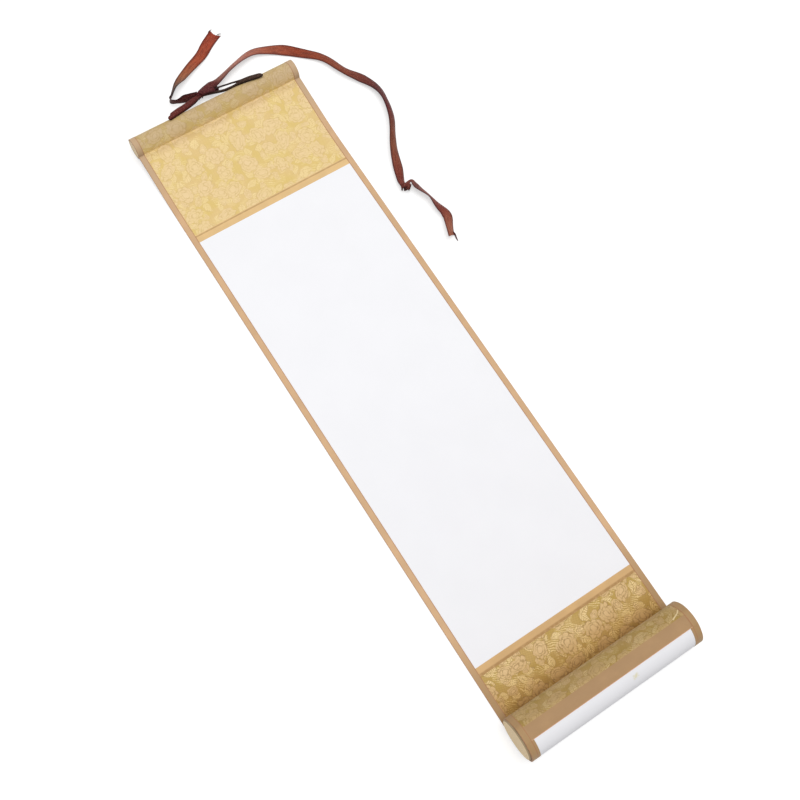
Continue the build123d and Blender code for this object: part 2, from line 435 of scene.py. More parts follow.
def smooth_line(name, rows):
    """Points along a NURBS line that the rows lead, and each one's place counted in rows"""
    curve = bpy.data.curves.new(name, "CURVE")
    curve.dimensions = "3D"
    curve.resolution_u = LINE_STEPS
    spline = curve.splines.new("NURBS")
    spline.points.add(len(rows) - 1)
    for control, (x, y, z) in zip(spline.points, (row[:3] for row in rows)):
        control.co = (x * MM, stave.y + y * MM, z * MM, 1.0)
    spline.order_u = LINE_ORDER
    spline.use_endpoint_u = True
    holder = bpy.data.objects.new(name, curve)
    bpy.context.collection.objects.link(holder)
    bpy.context.view_layer.update()
    evaluated = holder.evaluated_get(bpy.context.evaluated_depsgraph_get())
    line = bpy.data.meshes.new_from_object(evaluated)
    found = np.array([vertex.co for vertex in line.vertices])
    bpy.data.objects.remove(holder)
    bpy.data.meshes.remove(line)
    return found, np.linspace(0, len(rows) - 2, len(found))


def run_along(points):
    """How far along a line of points each one is"""
    return np.concatenate([[0.0], np.cumsum(np.linalg.norm(np.diff(points, axis=0), axis=1))])


def line_length(points):
    """Length of a line of points"""
    return float(run_along(points)[-1])


loop_line, loop_steps = smooth_line("loop_route", LOOP_ROUTE)
short_line, short_steps = smooth_line("short_route", SHORT_ROUTE)
long_line, long_steps = smooth_line("long_route", LONG_ROUTE)
for label, line in (("loop", loop_line), ("short", short_line), ("long", long_line)):
    print(label, "points", len(line), "length", round(line_length(line), 4))

# %% [markdown]
# ## A ribbon from a line
#
# A ribbon has a width and almost no thickness, so its look is all in how it twists and folds. Its
# mesh is built row by row from the tilt, the width and the bend of the route's rows, because no
# operator twists and curls a strip at the same time. The distances across and along the ribbon go
# into its UV map, for the ribs of its weave. A stretch that dips into the table is lifted clear.

# %% How the ribbon lies along a line
SMOOTHINGS = 12


def lay(rows, column, steps):
    """One column of a route's rows, read smoothly along its line"""
    values = [row[column] for row in rows]
    places = np.concatenate([[0.0], np.arange(1, len(rows) - 1) - 0.5, [len(rows) - 2.0]])
    found = np.interp(steps, places, values)
    for _ in range(SMOOTHINGS):
        middle_part = (found[:-2] + found[1:-1] * 2 + found[2:]) / 4
        found = np.concatenate([found[:1], middle_part, found[-1:]])
    return found


def frame_along(line):
    """At each point of a line, the ways ahead, to the right and up"""
    ahead = np.gradient(line, axis=0)
    ahead /= np.linalg.norm(ahead, axis=1)[:, None]
    side = np.cross(ahead, [0.0, 0.0, 1.0])
    side /= np.linalg.norm(side, axis=1)[:, None]
    return ahead, side, np.cross(side, ahead)


print("long tail tilts from", round(lay(LONG_ROUTE, 3, long_steps).min()), "degrees")

# %% Corner points of a ribbon
RIBBON_WIDTH = 6.0 * MM
RIBBON_THICKNESS = 0.32 * MM
EDGE_THINNING = 0.3
LEAST_BEND = 0.02
LEAST_END = 0.02


def ribbon_strip(line, steps, rows, columns=16, end_cut=None, round_ends=0.0, spread=1.0):
    """Corner points of a ribbon: rows along the line, columns round its flat section"""
    ahead, side, up = frame_along(line)
    turn = np.radians(lay(rows, 3, steps))[:, None]
    width = lay(rows, 4, steps) * RIBBON_WIDTH * spread
    bend = np.radians(lay(rows, 5, steps)) / 2
    run = run_along(line)
    if round_ends:
        near = np.clip(np.minimum(run, run[-1] - run) / round_ends, LEAST_END, 1)
        width = width * np.sqrt(1 - (1 - near) ** 2)
    across = side * np.cos(turn) + up * np.sin(turn)
    out = -side * np.sin(turn) + up * np.cos(turn)
    shares = np.linspace(-1, 1, columns)
    bend = np.where(np.abs(bend) < LEAST_BEND, LEAST_BEND, bend)[:, None]
    half = width[:, None] / 2
    along = half * np.sin(bend * shares) / bend
    rise = half * (1 - np.cos(bend * shares)) / bend
    rise = rise - rise.mean(axis=1, keepdims=True)
    lean_in = np.cos(bend * shares)
    lean_over = np.sin(bend * shares)
    wall = RIBBON_THICKNESS / 2 * (1 - EDGE_THINNING * np.abs(shares) ** 6)
    sides = []
    for sign, order in ((1, slice(None)), (-1, slice(None, None, -1))):
        place_across = (along - sign * wall * lean_over)[:, order, None]
        place_out = (rise + sign * wall * lean_in)[:, order, None]
        ring = line[:, None, :] + across[:, None, :] * place_across + out[:, None, :] * place_out
        if end_cut is not None:
            ring[-1] += ahead[-1] * end_cut(shares[order])[:, None]
        sides.append(ring)
    return np.concatenate(sides, axis=1), run


print("ribbon width", RIBBON_WIDTH, "thickness", RIBBON_THICKNESS)

# %% A finished piece


def finished(name, vertices, faces, marks, smooth_angle):
    """A piece with its UV map, its faces outwards and its soft edges shaded smooth"""
    mesh = bpy.data.meshes.new(name)
    mesh.from_pydata(vertices, [], faces)
    uv = mesh.uv_layers.new(name="UVMap")
    uv.data.foreach_set("uv", np.array(marks, np.float32).ravel())
    piece = bpy.data.objects.new(name, mesh)
    bpy.context.collection.objects.link(piece)
    bpy.ops.object.select_all(action="DESELECT")
    piece.select_set(True)
    bpy.context.view_layer.objects.active = piece
    bpy.ops.object.mode_set(mode="EDIT")
    bpy.ops.mesh.select_all(action="SELECT")
    bpy.ops.mesh.normals_make_consistent(inside=False)
    bpy.ops.object.mode_set(mode="OBJECT")
    bpy.ops.object.shade_smooth_by_angle(angle=math.radians(smooth_angle))
    piece.select_set(False)
    print(name, "faces", len(mesh.polygons))
    return piece


print("finishing helper ready")

# %% A piece from ribbon strips
ABOVE_TABLE = 0.02 * MM


def ribbon_object(name, strips):
    """One mesh from one or more ribbon strips"""
    vertices, faces, marks = [], [], []
    for rows, run in strips:
        rows = rows + np.array([0.0, 0.0, max(0.0, ABOVE_TABLE - rows[..., 2].min())])
        count, ring = rows.shape[:2]
        base = len(vertices)
        vertices.extend(rows.reshape(-1, 3).tolist())
        half = ring // 2
        across = [min(k, ring - 1 - k) / (half - 1) * RIBBON_WIDTH for k in range(ring)]
        for row in range(count - 1):
            for k in range(ring):
                nxt = (k + 1) % ring
                corners = [(row, k), (row, nxt), (row + 1, nxt), (row + 1, k)]
                faces.append([base + r * ring + c for r, c in corners])
                marks.extend((across[c], run[r]) for r, c in corners)
        for row in (0, count - 1):
            for k in range(half - 1):
                corners = [k, k + 1, ring - 2 - k, ring - 1 - k]
                faces.append([base + row * ring + c for c in corners])
                marks.extend((across[c], run[row]) for c in corners)
    return finished(name, vertices, faces, marks, smooth_angle=50)


def short_turn(name, rows):
    """A stretch of ribbon or a loose thread along a smooth line of its own"""
    line, steps = smooth_line(name, rows)
    return ribbon_strip(line, steps, rows, columns=12)


print("ribbon helpers ready")

# %% [markdown]
# ## The two tails
#
# The short tail leaves the knot on its edge, turns back sharply and then lies flat. The long tail
# leans, lies flat past the stave's corner, leans again and twists to its small knot. Scissors cut
# both ends, and a few threads have come loose there.

# %% The short tail


def notched_end(shares):
    """The cut at the short tail's end, deepest in the middle and with ragged teeth"""
    deep = 1.2 * np.maximum(-shares, 0) ** 1.5 + 1.7 * np.maximum(shares, 0) ** 2 - 0.6
    return (deep + 0.22 * np.sin(shares * 19)) * MM


SHORT_THREADS = [
    [(22.4, 47.6, 0.5, 0, 0.06, 0), (23.6, 48.3, 0.7, 0, 0.05, 0), (25.0, 48.4, 0.4, 0, 0.03, 0)],
    [(25.8, 43.6, 0.5, 0, 0.06, 0), (27.0, 43.9, 0.8, 0, 0.05, 0), (28.2, 43.3, 0.4, 0, 0.03, 0)],
]
short_tail = ribbon_object(
    "short_tail",
    [ribbon_strip(short_line, short_steps, SHORT_ROUTE, end_cut=notched_end)]
    + [short_turn("short_thread", rows) for rows in SHORT_THREADS],
)

# %% The long tail


def slanted_end(shares):
    """The cut at the long tail's end, a little aslant and ragged"""
    return (1.4 * shares + 0.3 + 0.2 * np.sin(shares * 16)) * MM


LONG_THREAD = [
    (72.0, -126.9, 1.9, 0, 0.16, 60),
    (72.6, -128.2, 1.5, 0, 0.16, 60),
    (72.2, -130.2, 0.9, 0, 0.13, 60),
    (72.1, -131.5, 0.5, 0, 0.09, 0),
    (72.1, -132.5, 0.3, 0, 0.03, 0),
]
long_tail = ribbon_object(
    "long_tail",
    [
        ribbon_strip(long_line, long_steps, LONG_ROUTE, end_cut=slanted_end),
        short_turn("long_thread", LONG_THREAD),
    ],
)

# %% [markdown]
# ## The hanging loop
#
# The loop is the same ribbon, creased lengthwise into two soft rolls that lie side by side. They
# rest on the stave's shoulder at both ends, go down to the knot on the table between them, and are
# pulled thin and come apart just right of the knot. Each row of the route gets each roll's distance
# from the loop's line, in millimetres, and its share of the ribbon's width there. The far roll is a
# little shorter at both ends.

# %% The loop's two rolls
NEAR_OFFSET = [0.45, 0.60, 0.62, 0.58, 0.30, 1.05, 1.60, 1.40, 0.36, 0.42, 0.40, 0.28]
NEAR_SHARE = [1.0, 1.0, 1.0, 1.0, 1.0, 1.05, 1.05, 1.10, 1.05, 1.0, 1.0, 1.0]
FAR_OFFSET = [-0.45, -0.60, -0.62, -0.58, -0.38, -1.05, -1.40, -1.10, -0.36, -0.42, -0.40, -0.28]
FAR_SHARE = [0.92, 0.92, 0.92, 0.90, 0.90, 0.66, 0.54, 0.54, 0.85, 0.92, 0.92, 0.92]
SOFT_END = 1.6 * MM


def along_loop(values):
    """Values given for the loop's rows, read smoothly along its line"""
    return lay([(0, 0, 0, value) for value in values], 3, loop_steps)


_, loop_side, _ = frame_along(loop_line)
loop_strips = []
for offsets, shares, missing in ((NEAR_OFFSET, NEAR_SHARE, 0), (FAR_OFFSET, FAR_SHARE, 4)):
    strand = loop_line + loop_side * along_loop(offsets)[:, None] * MM
    kept = slice(missing, len(strand) - missing // 2)
    spread = along_loop(shares)[kept]
    loop_strips.append(
        ribbon_strip(strand[kept], loop_steps[kept], LOOP_ROUTE, round_ends=SOFT_END, spread=spread)
    )
hanging_loop = ribbon_object("hanging_loop", loop_strips)

# %% [markdown]
# ## The knots
#
# The tie knot is the ribbon's own turns pulled tight: two narrow ones round the loop on the left,
# and a wide fold that opens to the right, over the loop and the long tail. The small knot near the
# end of the long tail is two tight turns. A NURBS line cuts the corners between its points, so a
# turn's points stand a little wider than the turn.

# %% Turns round a cord
TURN_START = -100
TURN_SWEEP = 330
TURN_STEPS = 8
WIDER = 1.08


def ring_rows(centre, heading, half_width, half_height, share, bend):
    """Rows of a turn round a cord that runs level in the given heading"""
    across = (-math.sin(math.radians(heading)), math.cos(math.radians(heading)))
    rows = []
    for step in range(TURN_STEPS + 1):
        angle = math.radians(TURN_START + TURN_SWEEP * step / TURN_STEPS)
        reach = WIDER * half_width * math.cos(angle)
        height = centre[2] + WIDER * half_height * math.sin(angle)
        x, y = centre[0] + across[0] * reach, centre[1] + across[1] * reach
        rows.append((x, y, height, 0, share, bend))
    return rows


print("a turn goes through", TURN_SWEEP, "degrees")

# %% The two knots
FOLD_ROWS = [
    (-3.4, 12.5, 4.4, 0, 0.30, -90),
    (-1.6, 12.5, 5.0, 0, 0.44, -70),
    (1.2, 12.4, 5.6, 0, 0.60, -60),
    (3.8, 12.3, 5.8, 0, 0.80, -55),
    (5.2, 12.4, 5.4, 0, 0.94, -55),
    (6.2, 12.4, 4.0, 0, 0.94, -60),
    (6.0, 12.3, 2.0, 0, 0.84, -60),
]
tie_knot = ribbon_object(
    "tie_turns",
    [
        short_turn("neck", ring_rows((-3.4, 12.6, 3.3), 14, 1.3, 1.8, 0.28, -80)),
        short_turn("neck_over", ring_rows((-2.2, 12.8, 3.6), 32, 1.7, 2.1, 0.24, -70)),
        short_turn("fold", FOLD_ROWS),
    ],
)
small_knot = ribbon_object(
    "small_turns",
    [
        short_turn("first", ring_rows((64.2, -91.2, 2.5), -110, 1.7, 2.1, 0.52, -100)),
        short_turn("second", ring_rows((66.0, -92.2, 2.3), -50, 1.6, 1.9, 0.46, -110)),
    ],
)

# %% [markdown]
# ## The silk
#
# The patterned silk is flat, rolls with the sheet, turns back inside and wraps the rod. Its glued
# side is drawn as one path in the YZ plane, of straight and round steps, and the mesh is that path
# carried across the sheet, with the silk's thickness on it. The distance along the path goes into
# the UV map, so the flowers follow the cloth over the rods without stretching. The lower silk's
# path starts at its free end on top of the roller, and the upper one's at the plain strip above
# the panel.

# %% Paths in the YZ plane
STRAIGHT_STEP = 1.0 * MM
ROUND_STEP = 0.5 * MM
KINK_STEP = 0.15 * MM
FOLD_STEP = 0.1 * MM
DOWN = 270


def polar(centre, radius, angle):
    """Point of a circle seen from the +X side, 0 degrees towards +Y and 90 up"""
    turn = math.radians(angle)
    return np.array([centre[0] + radius * math.cos(turn), centre[1] + radius * math.sin(turn)])


def straight(start, end, spacing=STRAIGHT_STEP):
    """Points and left-hand directions along a straight step"""
    start, end = np.array(start), np.array(end)
    count = max(2, int(np.linalg.norm(end - start) / spacing) + 1)
    ahead = (end - start) / np.linalg.norm(end - start)
    left = np.array([-ahead[1], ahead[0]])
    return [(start + (end - start) * share, left) for share in np.linspace(0, 1, count)]


def round_step(centre, radius, start, end, spacing=ROUND_STEP):
    """Points and left-hand directions along a round step, clockwise where the end angle is smaller"""
    count = max(5, int(abs(math.radians(end - start)) * radius / spacing) + 1)
    hand = -1 if end > start else 1
    return [
        (polar(centre, radius, angle), hand * polar((0, 0), 1, angle))
        for angle in np.linspace(start, end, count)
    ]


def joined(*stretches):
    """One list of points from several steps, without the repeated ends"""
    points = list(stretches[0])
    for stretch in stretches[1:]:
        points.extend(stretch[1:])
    return points


roller_axis = (roller.y, roller.z)
stave_axis = (stave.y, stave.z)
glue_line = roller_radius + 2 * FACE + FOLD_GAP
back_radius = glue_line + PAPER
print("glue line radius", round(glue_line / MM, 3), "back radius", round(back_radius / MM, 3))

# %% The lower silk's path
ROLL_END_ANGLE = 104.5
END_STRIP = 6.9 * MM
STRIP_LAP = 0.5 * MM
HIDDEN_TUCK = 4.0 * MM
RAMP_BEND = 3.0 * MM
strip_angle = ROLL_END_ANGLE - math.degrees(END_STRIP / (back_radius + FACE / 2))
back_angle = strip_angle - math.degrees(STRIP_LAP / back_radius)
tuck_angle = back_angle + math.degrees(HIDDEN_TUCK / glue_line)
ramp_half = math.degrees(math.acos((roller_radius - RAMP_BEND) / (back_radius - RAMP_BEND)))
ramp_angle = back_angle - ramp_half
ramp_centre = polar(roller_axis, back_radius - RAMP_BEND, back_angle)
ramp_high = polar(ramp_centre, RAMP_BEND, ramp_angle)
ramp_low = polar(roller_axis, roller_radius, ramp_angle)
fold_centre = polar(roller_axis, roller_radius + FACE + FOLD_GAP / 2, tuck_angle)
fold_bend = FACE + FOLD_GAP / 2
lower_strip_low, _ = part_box("lower_cross_strip")
lower_path = joined(
    round_step(roller_axis, back_radius, strip_angle, back_angle),
    round_step(ramp_centre, RAMP_BEND, back_angle, ramp_angle),
    straight(ramp_high, ramp_low, ROUND_STEP),
    round_step(roller_axis, roller_radius, ramp_angle, tuck_angle - 360),
    round_step(fold_centre, fold_bend, tuck_angle + 180, tuck_angle + 360, FOLD_STEP),
    round_step(roller_axis, glue_line, tuck_angle, DOWN),
    straight((roller.y, glue_height), (lower_strip_low.y, glue_height)),
)
print("lower silk rows", len(lower_path))

# %% The upper silk's path
LIFT_BEND = 150 * MM
LIFT_SLOPE = 7.5
KINK_BEND = 0.8 * MM
FOLD_BACK = 1.0 * MM
UNDER_END = 1.0 * MM
slope = np.array([math.cos(math.radians(LIFT_SLOPE)), math.sin(math.radians(LIFT_SLOPE))])
rise = np.array([-slope[1], slope[0]])
kink_centre = (stave.y - stave_radius - KINK_BEND, stave.z)
kink_start = polar(kink_centre, KINK_BEND, LIFT_SLOPE - 90)
slope_run = (kink_start[1] - glue_height - LIFT_BEND * (1 - slope[0])) / slope[1]
slope_start = kink_start - slope * slope_run
lift_centre = (slope_start[0] - LIFT_BEND * slope[1], glue_height + LIFT_BEND)
offset = kink_start - rise * (PAPER + FOLD_BACK) - np.array(stave_axis)
along = offset @ slope
reach = (stave_radius + FOLD_BACK) ** 2 - offset @ offset
back_fold = np.array(stave_axis) + offset + slope * (-along - math.sqrt(along**2 + reach))
wrap_end = math.degrees(math.atan2(back_fold[1] - stave.z, back_fold[0] - stave.y))
under_start = polar(back_fold, FOLD_BACK, LIFT_SLOPE + 90)
_, upper_strip_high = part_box("upper_cross_strip")
upper_path = joined(
    straight((upper_strip_high.y, glue_height), (lift_centre[0], glue_height)),
    round_step(lift_centre, LIFT_BEND, DOWN, DOWN + LIFT_SLOPE, STRAIGHT_STEP),
    straight(slope_start, kink_start),
    round_step(kink_centre, KINK_BEND, LIFT_SLOPE - 90, 0, KINK_STEP),
    round_step(stave_axis, stave_radius, 180, wrap_end),
    round_step(back_fold, FOLD_BACK, wrap_end + 180, LIFT_SLOPE + 90, KINK_STEP),
    straight(under_start, under_start - slope * UNDER_END, ROUND_STEP),
)
print("upper silk rows", len(upper_path))

# %% The two sides of a silk
SILK_COLUMNS = 96
UNEVEN = 0.012 * MM
EVEN_END = 3 * MM


def silk_sides(path, seed):
    """Points of a silk's hardly uneven face and of its glued side, and distances across and along"""
    points = np.array([point for point, left in path])
    lefts = np.array([left for point, left in path])
    run = run_along(points)
    across = np.linspace(-half_layer, half_layer, SILK_COLUMNS)
    x, s = np.meshgrid(across, run)
    uneven = np.sin(x * 190 + seed) * np.sin(s * 260 + x * 60) + np.sin(x * 410 + s * 90 + 2 * seed)
    from_end = np.minimum(run, run[-1] - run)[:, None]
    uneven = uneven * UNEVEN * np.clip(from_end / EVEN_END, 0, 1)
    sides = []
    for thickness, sway in ((FACE, uneven), (0.0, 0.0)):
        lift = thickness + sway
        y = points[:, 0:1] + lefts[:, 0:1] * lift
        z = points[:, 1:2] + lefts[:, 1:2] * lift
        y, z = np.broadcast_to(y, x.shape), np.broadcast_to(z, x.shape)
        sides.append(np.stack([x, y, z], axis=-1))
    return sides, x, s


def rim_of(rows, columns):
    """Places along the rim of a grid, once round"""
    rim = [(r, 0) for r in range(rows)]
    rim += [(rows - 1, c) for c in range(1, columns)]
    rim += [(r, columns - 1) for r in range(rows - 2, -1, -1)]
    return rim + [(0, c) for c in range(columns - 2, 0, -1)]


print("silk columns", SILK_COLUMNS)

# %% Silk meshes


def silk_sheet(name, path, seed):
    """Closed thin sheet along a path, and its length"""
    sides, x, s = silk_sides(path, seed)
    rows, columns = x.shape
    vertices = np.concatenate([side.reshape(-1, 3) for side in sides]).tolist()
    back = rows * columns
    faces, corners = [], []
    for r in range(rows - 1):
        for c in range(columns - 1):
            quad = [(r, c), (r, c + 1), (r + 1, c + 1), (r + 1, c)]
            faces.append([i * columns + j for i, j in quad])
            corners.extend(quad)
            faces.append([back + i * columns + j for i, j in quad[::-1]])
            corners.extend(quad[::-1])
    rim = rim_of(rows, columns)
    for first, second in zip(rim, rim[1:] + rim[:1]):
        a, b = first[0] * columns + first[1], second[0] * columns + second[1]
        faces.append([a, b, back + b, back + a])
        corners.extend([first, second, second, first])
    marks = [(x[r, c], s[r, c]) for r, c in corners]
    length = float(s[-1, 0])
    print(name, "length", round(length, 4))
    return finished(name, vertices, faces, marks, smooth_angle=40), length


lower_silk, lower_length = silk_sheet("lower_silk", lower_path, seed=1.0)
upper_silk, upper_length = silk_sheet("upper_silk", upper_path, seed=2.0)

# %% [markdown]
# ## Weave
#
# Every cloth here is woven, so one node group makes the threads: it takes coordinates in metres
# and a thread spacing, and gives a height that rises and falls where warp and weft cross. Each
# material uses it with its own spacing.

# %% Weave node group


def group_tree(name, inputs, outputs):
    """An empty node group with named sockets"""
    tree = bpy.data.node_groups.new(name, "ShaderNodeTree")
    for label, kind in inputs:
        tree.interface.new_socket(name=label, in_out="INPUT", socket_type=kind)
    for label, kind in outputs:
        tree.interface.new_socket(name=label, in_out="OUTPUT", socket_type=kind)
    return tree, tree.nodes.new("NodeGroupInput"), tree.nodes.new("NodeGroupOutput")


weave_tree, entry, leave = group_tree(
    "Weave",
    [("Vector", "NodeSocketVector"), ("Spacing", "NodeSocketFloat")],
    [("Height", "NodeSocketFloat")],
)
place = parts_of(weave_tree, entry.outputs["Vector"])
waves = []
for axis in ("X", "Y"):
    turns = maths(weave_tree, "DIVIDE", place[axis], entry.outputs["Spacing"])
    waves.append(maths(weave_tree, "SINE", product(weave_tree, turns, math.pi)))
crossing = product(weave_tree, *waves)
weave_tree.links.new(maths(weave_tree, "MULTIPLY_ADD", crossing, 0.5, 0.5), leave.inputs["Height"])


def woven(tree, cloth, spacing):
    """Height of the threads of a cloth, from the weave group"""
    node = tree.nodes.new("ShaderNodeGroup")
    node.node_tree = weave_tree
    feed(tree, node.inputs["Vector"], cloth)
    node.inputs["Spacing"].default_value = spacing
    return node.outputs["Height"]


print("weave group", len(weave_tree.nodes), "nodes")

# %% [markdown]
# ## Flowers
#
# The silk is figured all over with many-petalled blossoms and ribbed leaves, a common kind of
# pattern. Each cell of a Voronoi texture holds one blossom: the angle round the cell's point makes
# its petals and the distance from it makes three tiers of them. A second, closer Voronoi puts
# smaller blossoms between, and a third one leaves, whose veins run out from a midrib. A slow noise
# and a quicker one bend the cloth's coordinates first, so that no two blossoms look alike.

# %% Places within a cell


def cell_place(tree, vector, repeat, shift, randomness):
    """Each place along and across its Voronoi cell's own direction, in cells, and a random size"""
    moved = stretched(tree, vector, (1 / repeat,) * 3, shift)
    cells = tree.nodes.new("ShaderNodeTexVoronoi")
    cells.voronoi_dimensions = "2D"
    cells.inputs["Scale"].default_value = 1.0
    cells.inputs["Randomness"].default_value = randomness
    tree.links.new(moved, cells.inputs["Vector"])
    away = parts_of(tree, vector_maths(tree, "SUBTRACT", moved, cells.outputs["Position"])[0])
    chance = tree.nodes.new("ShaderNodeSeparateColor")
    tree.links.new(cells.outputs["Color"], chance.inputs[0])
    spin = product(tree, chance.outputs["Red"], 2 * math.pi)
    cosine, sine = maths(tree, "COSINE", spin), maths(tree, "SINE", spin)
    x, y = away["X"], away["Y"]
    lengthwise = total(tree, product(tree, x, cosine), product(tree, y, sine))
    crosswise = maths(tree, "SUBTRACT", product(tree, y, cosine), product(tree, x, sine))
    return lengthwise, crosswise, chance.outputs["Green"]


print("cell places ready")

# %% Blossoms
TIERS = ((1.0, 8), (0.66, 6), (0.36, 4))
TIER_TURN = 5.0
PETAL_DEPTH = 0.2
BLOSSOM_JITTER = 0.55
HATCH_LINES = 34.0
HATCH_DEPTH = -0.4


def blossoms(tree, vector, repeat, shift, reach):
    """Masks of the blossoms' petals and of the dark lines between them, and how far out a place is"""
    lengthwise, crosswise, size = cell_place(tree, vector, repeat, shift, BLOSSOM_JITTER)
    crosswise = product(tree, crosswise, maths(tree, "MULTIPLY_ADD", size, 0.5, 1.0))
    angle = maths(tree, "ARCTAN2", crosswise, lengthwise)
    squares = total(tree, product(tree, lengthwise, lengthwise), product(tree, crosswise, crosswise))
    ring = maths(tree, "DIVIDE", maths(tree, "SQRT", squares), reach)
    lines = []
    for share, count in TIERS:
        turned = maths(tree, "MULTIPLY_ADD", angle, count / 2, TIER_TURN * share)
        lobe = maths(tree, "ABSOLUTE", maths(tree, "COSINE", turned))
        swell = maths(tree, "POWER", lobe, 0.6)
        edge = maths(tree, "MULTIPLY_ADD", swell, PETAL_DEPTH * share, (1 - PETAL_DEPTH) * share)
        beyond = maths(tree, "SUBTRACT", ring, edge)
        if share == 1.0:
            petals = band(tree, beyond, 0.05, -0.03)
        lines.append(product(tree, band(tree, beyond, -0.11, -0.04), band(tree, beyond, 0.09, 0.03)))
        between = product(tree, band(tree, lobe, 0.30, 0.12), band(tree, beyond, 0.06, 0.0))
        lines.append(product(tree, between, band(tree, beyond, -0.26 * share, -0.12 * share)))
    hatch = maths(tree, "SINE", product(tree, angle, HATCH_LINES))
    hatch = product(tree, band(tree, hatch, 0.2, 0.7), band(tree, ring, 0.34, 0.44))
    petals = product(tree, petals, maths(tree, "MULTIPLY_ADD", hatch, HATCH_DEPTH, 1.0))
    return petals, largest(tree, *lines), ring


print("petals in each tier", [count for _, count in TIERS])

# %% Leaves
LEAF_JITTER = 0.8
LEAF_LENGTH = 0.50
LEAF_WIDTH = 0.32
VEIN_SLANT = 0.8


def leaves(tree, vector, repeat, shift, pitch):
    """Masks of pointed leaves, of their edges and midribs, and of their light veins"""
    lengthwise, crosswise, _ = cell_place(tree, vector, repeat, shift, LEAF_JITTER)
    crosswise = maths(tree, "ABSOLUTE", crosswise)
    tip = maths(tree, "DIVIDE", lengthwise, LEAF_LENGTH)
    width = maths(tree, "MULTIPLY_ADD", product(tree, tip, tip), -LEAF_WIDTH, LEAF_WIDTH)
    inside = maths(tree, "SUBTRACT", width, crosswise)
    leaf = band(tree, inside, -0.01, 0.02)
    edge = product(tree, band(tree, inside, -0.03, 0.0), band(tree, inside, 0.06, 0.03))
    midrib = product(tree, band(tree, crosswise, 0.03, 0.015), leaf)
    slant = maths(tree, "MULTIPLY_ADD", crosswise, VEIN_SLANT, lengthwise)
    wave = maths(tree, "SINE", product(tree, slant, 2 * math.pi * repeat / pitch))
    return leaf, largest(tree, edge, midrib), product(tree, band(tree, wave, -0.2, 0.5), leaf)


def swayed(tree, vector, scale, reach):
    """Coordinates pushed about by soft noise"""
    sway = tree.nodes.new("ShaderNodeTexNoise")
    sway.inputs["Scale"].default_value = scale
    sway.inputs["Detail"].default_value = 1.5
    tree.links.new(vector, sway.inputs["Vector"])
    return vector_maths(tree, "MULTIPLY_ADD", sway.outputs["Color"], (reach, reach, 0.0), vector)[0]


print("leaf length and half width in cells", LEAF_LENGTH, LEAF_WIDTH)

# %% Flower node group
LEAF_STRENGTH = 0.45

flower_tree, entry, leave = group_tree(
    "Flowers",
    [("Vector", "NodeSocketVector")],
    [("Petals", "NodeSocketFloat"), ("Lines", "NodeSocketFloat"), ("Veins", "NodeSocketFloat")],
)
tree, flat_cloth = flower_tree, entry.outputs["Vector"]
cloth = swayed(tree, swayed(tree, flat_cloth, 90.0, 5.0 * MM), 300.0, 2.6 * MM)
large, large_lines, large_ring = blossoms(tree, cloth, 12.5 * MM, (0.3, 0.1, 0.0), 0.42)
small, small_lines, small_ring = blossoms(tree, cloth, 9.0 * MM, (5.2, 2.7, 0.0), 0.30)
leaf, leaf_lines, veins = leaves(tree, cloth, 6.5 * MM, (3.3, 7.1, 0.0), 0.95 * MM)
off_large = band(tree, large_ring, 0.96, 1.10)
off_both = product(tree, off_large, band(tree, small_ring, 1.0, 1.12))
leaf = product(tree, leaf, off_both, LEAF_STRENGTH)
petals = largest(tree, large, product(tree, small, off_large), leaf)
small_lines = product(tree, small_lines, off_large)
lines = largest(tree, large_lines, small_lines, product(tree, leaf_lines, off_both))
lines = product(tree, lines, band(tree, noise(tree, flat_cloth, 420), 0.38, 0.62, 0.25, 1.0))
print("petals and lines", len(tree.nodes), "nodes")

# %% Hatched patches between the flowers
STROKE_PITCH = 1.15 * MM
STROKE_SLANT = 0.7
DASH_SPACING = 0.70 * MM

patchy = noise(tree, flat_cloth, 110, location=(0.02, 0.05, 0.0))
cloth_place = parts_of(tree, cloth)
slant = maths(tree, "MULTIPLY_ADD", cloth_place["X"], STROKE_SLANT, cloth_place["Y"])
strokes = maths(tree, "SINE", product(tree, slant, 2 * math.pi / STROKE_PITCH))
dashes = band(tree, woven(tree, cloth, DASH_SPACING), 0.30, 0.60, 0.45, 1.0)
strokes = product(tree, band(tree, strokes, 0.0, 0.5), dashes)
off_petals = maths(tree, "MULTIPLY_ADD", large, -0.75, 1.0)
hatched = product(tree, band(tree, patchy, 0.49, 0.56), strokes, off_petals)
veins = largest(tree, product(tree, veins, off_both), hatched)
for name, mask in (("Petals", petals), ("Lines", lines), ("Veins", veins)):
    tree.links.new(mask, leave.inputs[name])


def figured(tree, cloth):
    """The flower group's masks on a cloth"""
    node = tree.nodes.new("ShaderNodeGroup")
    node.node_tree = flower_tree
    tree.links.new(cloth, node.inputs["Vector"])
    return node.outputs


print("flower group", len(flower_tree.nodes), "nodes")

# %% [markdown]
# ## Figured silk
#
# The ground is a fine diamond twill in two close tones. The petals are smoother and pinker, the veins
# lighter and the lines darker. Both silks are one cloth, but the upper one is given lighter tones and
# fainter lines, a painted sheen, and the lower end deeper ones. Along the path the part round the rods
# is painted duller, a painted shade for the sheen the curved cloth loses there, the flowers are fainter
# on the roller, and the valley beside it is darkest, a painted shadow of the roller. So the tone
# changes along the path by a few listed stops. One pale thread has come loose near the roller's right
# end.

# %% Tones along a cloth


def fading(tree, along, stops):
    """Colour that changes along a cloth, from rows of a distance in millimetres and a colour"""
    ramp = tree.nodes.new("ShaderNodeValToRGB")
    first, last = stops[0][0], stops[-1][0]
    share = maths(tree, "MULTIPLY_ADD", along, 1 / ((last - first) * MM), -first / (last - first))
    tree.links.new(share, ramp.inputs["Fac"])
    while len(ramp.color_ramp.elements) < len(stops):
        ramp.color_ramp.elements.new(0.5)
    for element, (distance, tone) in zip(ramp.color_ramp.elements, stops):
        element.position = (distance - first) / (last - first)
        element.color = tone
    return ramp.outputs["Color"]


